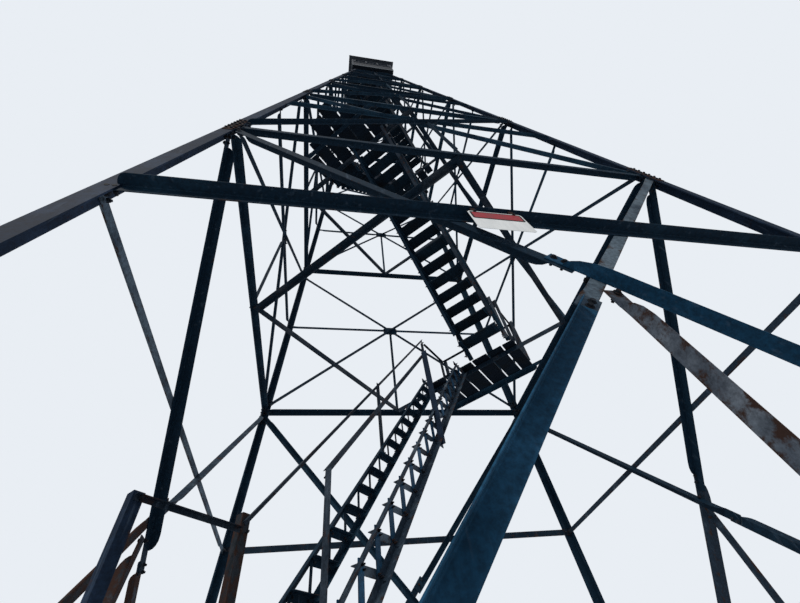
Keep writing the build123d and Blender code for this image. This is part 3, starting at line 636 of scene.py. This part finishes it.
def truss(parts, flight, u, inward, leg_way, sizes, finishes, stop, top):
    """One truss at u: inward is +1 where the flight lies toward +u of it.

    sizes and finishes are those of the top chord, bottom chord and uprights, and finishes ends with
    the seats. The truss ends against w = stop and at the height top.
    """
    base, z0, end, z1, count = flight[:5]
    rise = (z1 - z0) / count
    going = abs(end - base) / count
    slope = rise / going
    way = 1 if end > base else -1
    along = Vector((0, way, slope)).normalized()
    normal = Vector((0, -way * slope, 1)).normalized()
    cosine = along.y * way
    drop = (rise + TRUSS_DEPTH) * cosine
    head = (top - z0) / slope
    lug = abs(stop - base)
    middle = u + inward * TRUSS_HALF

    def chord(depth, side, size, s0, s1, finish):
        """Angle from run s0 to s1 with its outer edge a depth under the nose line.

        It lies below that edge for side 1 and above it for side -1.
        """
        z_dir = Vector((-leg_way, 0, 0))
        edge = 1 if z_dir.cross(along).dot(normal) * side > 0 else -1
        inset = depth + side * size / 2
        origin = Vector((middle - leg_way * CHORD_THICK / 2, base + way * s0, z0 + s0 * slope)) - normal * inset
        m = STAIR @ frame_at(origin, along, z_dir)
        rolled_angle(parts, m, (s1 - s0) / cosine, size, CHORD_THICK, finish, edge)

    def beside(run, z):
        """Place on the inner face of the truss, turned to the flight."""
        at = (middle + inward * TRUSS_HALF, base + way * run, z)
        return STAIR @ frame_at(at, (0, inward, 0), (inward, 0, 0))

    chord(0.0, 1, sizes[0], 0.02, head, finishes[0])
    chord(drop, -1, sizes[1], drop / cosine / slope + 0.01, lug + (0.02 if lug < head else 0), finishes[1])
    for k in range(1, count + 1):
        run = k * going
        seat = z0 + k * rise - PLANK_THICK - GAP
        if run < head + 0.05:
            low = max((run * slope + z0) - (drop - 0.02) / cosine, z0 + 0.002)
            high = min(run * slope + z0 - 0.012, top)
            if high - low > 0.06:
                plate(parts, beside(run, (low + high) / 2), sizes[2], high - low, UPRIGHT_THICK, finishes[2],
                      0.003)
                for z in (low + 0.03, high - 0.035):
                    bolt(parts, beside(run, z), 0.012, 0.018)
        if k < count and run + going < lug + 0.05:
            start = run - SEAT_BACK
            length = min(going + SEAT_MORE, lug - start)
            across = middle + inward * (SEAT_OUT + SEAT / 2)
            m = STAIR @ frame_at((across, base + way * start, seat), (0, way, 0), (0, 0, 1))
            rolled_angle(parts, m, length, SEAT, SEAT_THICK, finishes[3], way * inward)
            for s in (0.04, length - 0.05):
                at = (middle + inward * (SEAT_OUT + SEAT_THICK), base + way * (start + s), seat - 0.030)
                bolt(parts, STAIR @ frame_at(at, (0, 0, 1), (inward, 0, 0)), 0.011, 0.013)
    if lug > head - 0.04:
        wide = lug - head + 0.08
        plate(parts, beside(lug - wide / 2, top - 0.038), wide, 0.074, LUG_THICK, finishes[0], 0.003)


landing_levels = [LEVELS[k] for k in (2, 4, 6, 8, 10)]
decks = [deck(z) for z in landing_levels]
plan_edges = [plan_reach(z) for z in landing_levels]
first_edge = plan_edges[0] - 0.174
edges = [first_edge] + [reach - CORNER_EDGE for reach in plan_edges[1:]]
cab_top = LEVELS[12] + 0.0806 + FLOOR_THICK
# Along and height at the foot, along and height at the head, risers, left truss, right truss
flights = [
    (0.032, 0.0, -FIRST_NEAR, FIRST_DECK, 9, RIGHT_INNER, WIDE_RIGHT),
    (-1.713, FIRST_DECK, first_edge - 0.138, decks[0], 17, WIDE_LEFT, LEFT_INNER),
    (first_edge + 0.038, decks[0], -edges[1], decks[1], 16, RIGHT_INNER, WIDE_RIGHT),
    (-edges[1] - FOOT_IN, decks[1], edges[2], decks[2], 15, WIDE_LEFT, LEFT_INNER),
    (edges[2] + FOOT_IN, decks[2], -edges[3], decks[3], 13, RIGHT_INNER, 0.640),
    (-edges[3] - FOOT_IN, decks[3], edges[4], decks[4], 12, -0.548, -0.040),
    (edges[4] + FOOT_IN, decks[4], HATCH_LOW, cab_top, 11, RIGHT_INNER, 0.490),
]
tops = [z - PLANK_THICK - GAP for z in [FIRST_DECK] + decks] + [cab_top - FLOOR_THICK - GAP]
plan_faces = [side * (reach - PLAN_BAR - GAP) for side, reach in zip((1, -1, 1, -1, 1), plan_edges)]
stops = [-1.570] + plan_faces + [HATCH_LOW]
for n, (flight, stop, top) in enumerate(zip(flights, stops, tops)):
    base, z0, end, z1, count, u0, u1 = flight
    parts = gather()
    # The two lowest flights: one truss in the dark copy, the other in grey and blue ones: painted shade and painted
    # light
    if n < 2:
        truss(parts, flight, u0, 1, 1, (0.044, 0.050, 0.024),
              (steel_shade_dark, steel_shade_dark, steel_shade_dark, steel_shade_dark), stop, top)
        truss(parts, flight, u1, -1, 1, (0.036, 0.058, 0.052),
              (steel_grey, steel_grey, steel_blue_sky_lit, steel_grey), stop, top)
    else:
        truss(parts, flight, u0, 1, 1, (0.060, 0.050, 0.03),
              (steel_shade_dark, steel_shade_dark, steel_stair, steel_shade_dark), stop, top)
        truss(parts, flight, u1, -1, 1 if u0 > 0 else -1, (0.056, 0.056, 0.03),
              (steel_shade_dark, steel_stair, steel_stair, steel_shade_dark), stop, top)
    make("stair_truss_%d" % n, parts, ["stringers_%d" % n])
    if n < 2:
        continue
    rise = (z1 - z0) / count
    going = abs(end - base) / count
    way = 1 if end > base else -1
    lap = 0.034 if n == 2 else 0.060
    deep = going + lap
    long = u1 - u0 - 0.018
    parts = gather()
    for k in range(1, count):
        w = base + way * (k * going + deep / 2 - lap)
        at = STAIR @ Matrix.Translation(((u0 + u1) / 2, w, z0 + k * rise - PLANK_THICK / 2))
        plank(parts, at, long, deep - 0.002, wood_tread)
        nails(parts, at, long, deep)
    make("stair_planks_%d" % n, parts, ["treads_%d" % n])


# Landings: softwood planks side by side with open gaps, nailed to a steel angle across the corner of
# the tower and to a timber over the plan angles. The lowest one has angle posts of its own.
PLANK_EDGES = (-0.774, -0.477, -0.220, 0.038, 0.317, 0.568, 0.774)
PLANK_GAP = 0.024
BEAM = 0.076
BEAM_THICK = 0.006
BEAM_AT = 0.677        # of the way from the axis to the corner of the tower
LOW_REACH = 0.748      # half width of the lowest landing
LOW_POST = 0.064
LOW_POST_OUT = 0.7543  # from the middle of the lowest landing to the outer side of its posts
LOW_RAIL = 2.935       # height of the level rail there
LOW_OUT = 2.332        # from the axis to the outer edge of its planks
OUTER_POST = -2.294    # Y in the stair frame of its outer and inner posts
INNER_POST = -1.608
REACHES = (0.774, 0.774, 0.774, 0.640, 0.560)   # half widths of the landings above it

# Nearly black and blue: painted shade and painted sky light
wood_plank = old_wood("plank_wood", "050f1b", "111d29", "X")


def board_row(parts, reach, inner, outer_of, top, flip):
    """Planks across a landing from its inner edge out to outer_of(left, right, last)."""
    lines = [-reach] + [x for x in PLANK_EDGES if abs(x) < reach - 0.06] + [reach]
    for i in range(len(lines) - 1):
        left = lines[i] + PLANK_GAP / 2
        right = lines[i + 1] - PLANK_GAP / 2
        outer = outer_of(left, right, i == len(lines) - 2)
        at = Matrix.Translation(((left + right) / 2, (inner + outer) / 2, top - PLANK_THICK / 2))
        at = STAIR @ flip @ at @ Matrix.Rotation(math.radians(90), 4, "Z")
        plank(parts, at, outer - inner, right - left, wood_plank)
        nails(parts, at, outer - inner, right - left)


half_turn = Matrix.Rotation(math.pi, 4, "Z")
for n, (z, reach, c) in enumerate(zip(landing_levels, REACHES, plan_edges)):
    parts = gather()
    flip = half_turn if n % 2 else Matrix.Identity(4)
    inner = edges[n]
    limit = ROOT2 * (half(z) - 0.095)

    def outer_of(left, right, last):
        longest = limit
        if n == 0:
            longest = inner + (0.832 if last else 0.764)
        return min(limit - max(abs(left), abs(right)), longest)

    board_row(parts, reach, inner, outer_of, deck(z), flip)
    at = BEAM_AT * ROOT2 * half(z)
    span = ROOT2 * (half(z) - beam_inset(z)) - at - BEAM / 2
    high = beam_top(z)
    m = STAIR @ flip @ frame_at((-span, at, high), (1, 0, 0), (0, 0, 1))
    rolled_angle(parts, m, 2 * span, BEAM, BEAM_THICK, steel_shade_dark, 1, False, (0.115, 0.115), 0.06)
    low = z - GIRT_THICK - (behind_leg(z) + PLAN_BAR) * TAPER
    timber = STAIR @ flip @ Matrix.Translation((0, c - BEAM / 2, (high + low) / 2))
    plank(parts, timber, 2 * reach - 0.006, 0.072, wood_plank, high - low + 0.004)
    make("landing_planks_%d" % (n + 1), parts, ["landing_%d" % (n + 1)])

parts = gather()
board_row(parts, LOW_REACH, FIRST_NEAR, lambda left, right, last: LOW_OUT, FIRST_DECK, half_turn)
for w, edge in ((OUTER_POST + 0.008, 1), (INNER_POST, -1)):
    m = STAIR @ frame_at((-LOW_REACH, w, FIRST_DECK - PLANK_THICK - GAP), (1, 0, 0), (0, 0, 1))
    rolled_angle(parts, m, 2 * LOW_REACH, BEAM, BEAM_THICK, steel_leg, edge)
for side, w, high, rail_bolt, finish in (
        (-1, OUTER_POST, 2.970, LOW_RAIL, steel_leg),
        (-1, INNER_POST, 3.046, LOW_RAIL, steel_brown),
        (1, OUTER_POST, FIRST_DECK, FIRST_DECK - 0.095, steel_leg),
        (1, INNER_POST, FIRST_DECK, FIRST_DECK - 0.095, steel_leg)):
    m = STAIR @ frame_at((side * LOW_POST_OUT, w, 0), (0, 0, 1), (side, 0, 0))
    rolled_angle(parts, m, high, LOW_POST, BEAM_THICK, finish, side, True)
    for z in (FIRST_DECK - 0.075, FIRST_DECK - 0.055, rail_bolt):
        bolt(parts, STAIR @ frame_at((side * LOW_POST_OUT, w + 0.012, z), (0, 0, 1), (side, 0, 0)), 0.014, 0.02)
make("landing_planks_0", parts, ["landing_0"])


# Handrails: upright steel angles bolted outside the trusses and landings, with a small angle rail on
# their inner side, and a bolt where they cross.
RAIL = 0.030
RAIL_THICK = 0.004
RAIL_HEIGHT = 0.810    # over the nose line of the flight
POST = 0.050
POST_THICK = 0.005
POST_OUT = 0.0063      # from the truss to the outer side of a post
END_RIGHT = 0.726      # X in the stair frame of the right end of the landing on the first girts
INNER_RAIL = -1.500    # Y in the stair frame of the foot of the inner rail over the lowest landing


def rail_post(parts, at, u, side, w, z0, z1, finish=steel_stair, wide=POST):
    """Upright from height z0 to z1 outside a truss or landing whose outer face is at u."""
    m = at @ frame_at((u + side * POST_OUT, w, z0), (0, 0, 1), (side, 0, 0))
    rolled_angle(parts, m, z1 - z0, wide, POST_THICK, finish, 1, True)
    for s in (0.04, 0.12, z1 - z0 - 0.03):
        bolt(parts, m @ Matrix.Translation((s, 0, 0)), 0.012, 0.019)


def rail(parts, at, u, side, p, q):
    """Rail from p to q, each (along, height)."""
    run = q[0] - p[0]
    rise = q[1] - p[1]
    m = at @ frame_at((u, *p), (0, run, rise), (side, 0, 0))
    rolled_angle(parts, m, math.hypot(run, rise), RAIL, RAIL_THICK, steel_stair, 1 if side * run > 0 else -1)


def flight_rail(parts, flight, side, w0, w1, posts, finish=steel_stair, wide=POST, below=0.96):
    """Sloping rail on the left (-1) or right side of a flight from w0 to w1, its posts down to the truss."""
    base, z0, end, z1 = flight[:4]
    u = flight[6 if side > 0 else 5]   # right or left truss
    slope = (z1 - z0) / abs(end - base)

    def line(w):
        return z0 + abs(w - base) * slope + RAIL_HEIGHT

    rail(parts, STAIR, u, side, (w0, line(w0)), (w1, line(w1)))
    for w in posts:
        rail_post(parts, STAIR, u, side, w, line(w) - below, line(w) + 0.03, finish, wide)


floor_at = decks[0] + GAP
parts = gather()
rail(parts, STAIR, WIDE_LEFT, -1, (-2.314, LOW_RAIL), (-1.6403, LOW_RAIL))
flight_rail(parts, flights[1], -1, -1.618, first_edge + 0.025, [-0.066])
rail_post(parts, STAIR, WIDE_LEFT, -1, first_edge + 0.03, floor_at, decks[0] + 0.99)
flight_rail(parts, flights[1], 1, INNER_RAIL, 0.150, [0.132], steel_leg, 0.074, 1.28)
rail_post(parts, STAIR, LEFT_INNER, 1, INNER_RAIL, FIRST_DECK + GAP, 3.130)
make("stair_rails_low", parts, ["handrails_low"])

parts = gather()
guard = decks[0] + 0.930
guard_top = guard + 0.019
edge_w = first_edge + 0.690
outer_side = STAIR @ Matrix.Rotation(math.radians(90), 4, "Z")
rail(parts, STAIR, WIDE_LEFT, -1, (first_edge + 0.06, guard), (edge_w + 0.025, guard))
rail_post(parts, STAIR, WIDE_LEFT, -1, edge_w, floor_at, guard_top)
rail(parts, outer_side, edge_w + 0.025, 1, (-END_RIGHT, guard), (0.724, guard))
for w in (-0.700, 0.698):
    rail_post(parts, outer_side, edge_w + 0.025, 1, w, floor_at, guard_top)
rail(parts, STAIR, END_RIGHT, 1, (first_edge, guard), (edge_w + 0.01, guard))
for w in (first_edge + 0.03, edge_w - 0.02):
    rail_post(parts, STAIR, END_RIGHT, 1, w, floor_at, guard_top)
make("landing_rails", parts, ["landing_guards"])

parts = gather()
flight_rail(parts, flights[2], 1, first_edge - 0.025, 0.04 - edges[1], [1.3, 0.06, -1.12])
flight_rail(parts, flights[3], -1, -edges[1], edges[2] - 0.12, [-1.08, -0.12, 0.8])
flight_rail(parts, flights[4], 1, edges[2] - 0.02, 0.14 - edges[3], [0.88, -0.56])
flight_rail(parts, flights[5], -1, -edges[3], edges[4] - 0.18, [-0.7, 0.34])
flight_rail(parts, flights[6], 1, edges[4] - 0.04, 0.01, [0.48, 0.05])
make("stair_rails_high", parts, ["handrails_high"])


# Splices of the legs: galvanised steel cover plates outside the leg flanges where two lengths meet,
# each held by two rows of six bolts.
COVER_THICK = 0.006
BOLT_ROW = 0.22        # from the middle of the flange to a row, as a share of its width

parts = gather()
for name, turn in FACES:
    face = face_matrix(turn)
    for i in (2, 4, 6, 8, 10):
        z = LEVELS[i]
        size, thick = leg_at(z)
        long = 0.5 if i < 6 else 0.36
        finish = steel_brown if i == 2 else steel_grey
        for side in (-1, 1):
            lean = Matrix.Rotation(side * math.atan(TAPER / SLANT), 4, "Z")
            m = on_face(face, side * (half(z) - size / 2), z - 0.02, 0) @ lean
            plate(parts, m @ Matrix.Translation((0, 0, COVER_THICK)), size - 0.018, long, COVER_THICK, finish,
                  0.004)
            for row in (-1, 1):
                for n in range(6):
                    at = Matrix.Translation((row * size * BOLT_ROW, (n - 2.5) * long / 6.4, COVER_THICK))
                    bolt(parts, m @ at, thick + 2 * COVER_THICK, 0.022)
make("leg_splices", parts)


# Cab: softwood joists and floor boards, walls of dark painted sheet under cover battens, framed
# lights with glazing bars, a pale trim along the foot, a fascia at the eaves and a roof of painted
# sheet with standing seams. Battens, bars and seams are nailed on over the solids.
CAB_HALF = 0.858
FASCIA_OUT = 0.966     # from the axis
ROOF_HALF = 0.965      # from the axis to the foot of the roof
ROOF_RUN = 0.905
ROOF_RISE = 0.700
BATTEN_PITCH = 0.143
LIGHT_PITCH = 0.492
LIGHT_HIGH = 0.561


def old_paint(name, main, worn):
    """Dull oil paint on sheet or board, chalky with faint streaks.

    Streaks are about 70 mm wide and 500 mm long. The brush grain is drawn at 17 mm, where the real one
    is 1 mm, so that it shows.
    """
    material, tree = new_material(name)
    place = add(tree, "TexCoord", out="Object")
    long = add(tree, "Mapping", {"Vector": place, "Scale": (9.0, 9.0, 1.2)})
    streaks = add(tree, "TexNoise", {"Vector": long, "Scale": 1.6, "Detail": 6.0, "Roughness": 0.6})
    grain = add(tree, "TexNoise", {"Vector": place, "Scale": 60.0, "Detail": 2.0})
    share = add(tree, "MapRange", {0: streaks, 1: 0.42, 2: 0.8})
    colour = add(tree, "Mix", {0: share, FIRST: main, SECOND: worn}, BLEND, data_type="RGBA")
    bump = add(tree, "Bump", {"Height": grain, "Strength": 0.15, "Distance": 0.001})
    shader = add(tree, "BsdfPrincipled", {"Base Color": colour, "Roughness": 0.62, "Specular IOR Level": 0.3,
                                          "Normal": bump})
    add(tree, "OutputMaterial", {0: shader})
    return material


# Nearly black and blue: painted shade and painted sky light
wood_floor = old_wood("floor_wood", "070f19", "141c27", "X", 0.14)
cab_paint = old_paint("cab_wall_paint", "101a29", "253040")
roof_paint = old_paint("roof_paint", "1b232e", "3c4248")
frame_paint = old_paint("frame_paint", "222c3a", "3d4650")
trim_paint = old_paint("trim_paint", "7d8790", "5d6064")

# Plain window glass, dusty, with patches of about 200 mm
glass, tree = new_material("window_glass")
dust = add(tree, "TexNoise", {"Vector": add(tree, "TexCoord", out="Object"), "Scale": 5.0})
colour = add(tree, "Mix", {0: dust, FIRST: "6d7f88", SECOND: "8c9aa0"}, BLEND, data_type="RGBA")
shader = add(tree, "BsdfPrincipled", {"Base Color": colour, "Roughness": 0.12, "Alpha": 0.4})
add(tree, "OutputMaterial", {0: shader})

give_finish("cab_joists", wood_plank)
give_finish("cab_floor", wood_floor)
give_finish("cab_hatch", wood_floor)
give_finish("cab_glass", glass)
give_finish("cab_roof", roof_paint)

sill = cab_top + GAP + 0.850
head_top = sill + 0.61   # of the board over the lights
eave = cab_top + 1.587
wall_top = eave - 0.002
roof_foot = eave + 0.05
seam_slope = math.hypot(ROOF_RUN, ROOF_RISE) / ROOF_RUN
hip_long = math.sqrt(2 * ROOF_RUN ** 2 + ROOF_RISE ** 2) * 0.955
parts = gather()
for name, turn in FACES:
    give_finish("cab_wall_" + name, cab_paint)
    spin = Matrix.Rotation(math.radians(turn), 4, "Z")
    wall = spin @ frame_at((0, -CAB_HALF, 0), (1, 0, 0), (0, -1, 0))

    def strip(x, low, high, wide, proud, finish, deep=0.0):
        """Upright strip on the wall that stands proud of it, and reaches a depth into it."""
        at = wall @ Matrix.Translation((x, (low + high) / 2, proud))
        plate(parts, at, wide, high - low, proud + deep, finish, 0.003)

    for k in range(11):
        x = (k - 5) * BATTEN_PITCH
        strip(x, cab_top + 0.08, sill - 0.03, 0.034, 0.010, cab_paint)
        strip(x, head_top, wall_top, 0.034, 0.010, cab_paint)
    strip(0, cab_top + 0.004, cab_top + 0.052, 2 * CAB_HALF + 0.024, 0.012, trim_paint)
    strip(0, sill - 0.05, sill - 0.002, 2 * CAB_HALF - 0.12, 0.030, frame_paint)
    strip(0, sill + 0.563, head_top, 2 * CAB_HALF - 0.12, 0.014, frame_paint)
    for side in (-1, 1):
        strip(side * (CAB_HALF - 0.027), cab_top + 0.076, wall_top, 0.060, 0.012, frame_paint)
    for k in (-1, 0, 1):
        x = k * LIGHT_PITCH
        for side in (-1, 1):
            strip(x + side * 0.230, sill, sill + LIGHT_HIGH, 0.030, 0.014, frame_paint)
            strip(x + side * 0.072, sill + 0.002, sill + 0.558, 0.016, -0.010, frame_paint, 0.026)
        for z in (sill + 0.187, sill + 0.373):
            strip(x, z - 0.008, z + 0.008, 0.430, -0.012, frame_paint, 0.024)
    fascia = spin @ frame_at((0, -FASCIA_OUT, eave + 0.026), (1, 0, 0), (0, -1, 0))
    plate(parts, fascia @ Matrix.Translation((0, 0, 0.014)), 1.958, 0.066, 0.014, roof_paint, 0.004)
    roof = spin @ frame_at((0, -ROOF_HALF, roof_foot), (1, 0, 0), (0, -ROOF_RISE, ROOF_RUN))
    for x in (-0.75, -0.45, -0.15, 0.15, 0.45, 0.75):
        long = (ROOF_HALF - abs(x)) * seam_slope - 0.05
        plate(parts, roof @ Matrix.Translation((x, long / 2 + 0.01, 0.022)), 0.014, long, 0.022, roof_paint, 0.003)
    hip = spin @ frame_at((-ROOF_HALF, -ROOF_HALF, roof_foot), (ROOF_RUN, ROOF_RUN, ROOF_RISE),
                          (-0.35, -0.35, ROOF_RUN))
    plate(parts, hip @ Matrix.Translation((hip_long / 2, 0, 0.014)), hip_long, 0.07, 0.022, roof_paint, 0.004)
make("cab_trim", parts)


# Sign: a small enamelled steel plate in front of the near girt, a red band with a dark border over a
# plain white field. Two steel straps behind it are bolted to the girt.
SIGN_WIDE = 0.33
SIGN_HIGH = 0.253
BAND_UP = 0.066
EVEN = 0.0             # one tone for the layers of the sign

sign_white = old_paint("sign_white", "d9dee2", "b3babf")
sign_red = old_paint("sign_red", "93303a", "743f44")
sign_black = old_paint("sign_black", "15171a", "2a2c2e")

parts = gather()
m = on_face(face_matrix(0), -0.300, 3.740, -0.052)
plate(parts, m, SIGN_WIDE, SIGN_HIGH, 0.002, sign_white, 0.012, EVEN)
plate(parts, m @ Matrix.Translation((0, BAND_UP, 0.0009)), 0.312, 0.102, 0.0009, sign_black, 0.008, EVEN)
plate(parts, m @ Matrix.Translation((0, BAND_UP, 0.0014)), 0.290, 0.080, 0.0009, sign_red, 0.006, EVEN)
for x in (-0.120, 0.120):
    plate(parts, m @ Matrix.Translation((x, 0.100, -0.0021)), 0.03, 0.170, 0.004, steel_bolt, 0.003)
    bolt(parts, m @ Matrix.Translation((x, 0.118, 0)), 0.0065, 0.012)
make("sign_plate", parts)


# Studio: a plain pale floor, two broad soft suns and an even surround. What the camera sees behind
# the tower, also through its windows, is paler than the light on it.
FLOOR_HALF = 60

floor_mesh = bpy.data.meshes.new("floor")
corners = [(x * FLOOR_HALF, y * FLOOR_HALF, 0) for x, y in ((-1, -1), (1, -1), (1, 1), (-1, 1))]
floor_mesh.from_pydata(corners, [], [(0, 1, 2, 3)])
floor = bpy.data.objects.new("floor", floor_mesh)
floor_material, tree = new_material("floor_pale")
shader = add(tree, "BsdfPrincipled", {"Base Color": "c9cdd1", "Roughness": 0.9})
add(tree, "OutputMaterial", {0: shader})
floor_mesh.materials.append(floor_material)
scene.collection.objects.link(floor)

world = bpy.data.worlds.new("world")
scene.world = world
world.use_nodes = True
tree = world.node_tree
tree.nodes.clear()
camera_ray = add(tree, "LightPath", out="Is Camera Ray")
through_glass = add(tree, "LightPath", out="Is Transmission Ray")
seen = add(tree, "Math", {0: camera_ray, 1: through_glass}, operation="MAXIMUM")
room = add(tree, "Background", {"Color": "d8dde2", "Strength": 0.55})
view = add(tree, "Background", {"Color": "e9eef4", "Strength": 1.0})
both = add(tree, "MixShader", {0: seen, 1: room, 2: view})
add(tree, "OutputWorld", {0: both})

for name, tilt, heading, power, colour in (("key", 48, -35, 2.2, "fff6ea"), ("fill", 62, 120, 0.8, "e6eefc")):
    light_data = bpy.data.lights.new(name, "SUN")
    light_data.energy = power
    light_data.angle = math.radians(12)
    light_data.color = linear(colour)[:3]
    light = bpy.data.objects.new(name, light_data)
    light.rotation_euler = (math.radians(tilt), 0, math.radians(heading))
    scene.collection.objects.link(light)
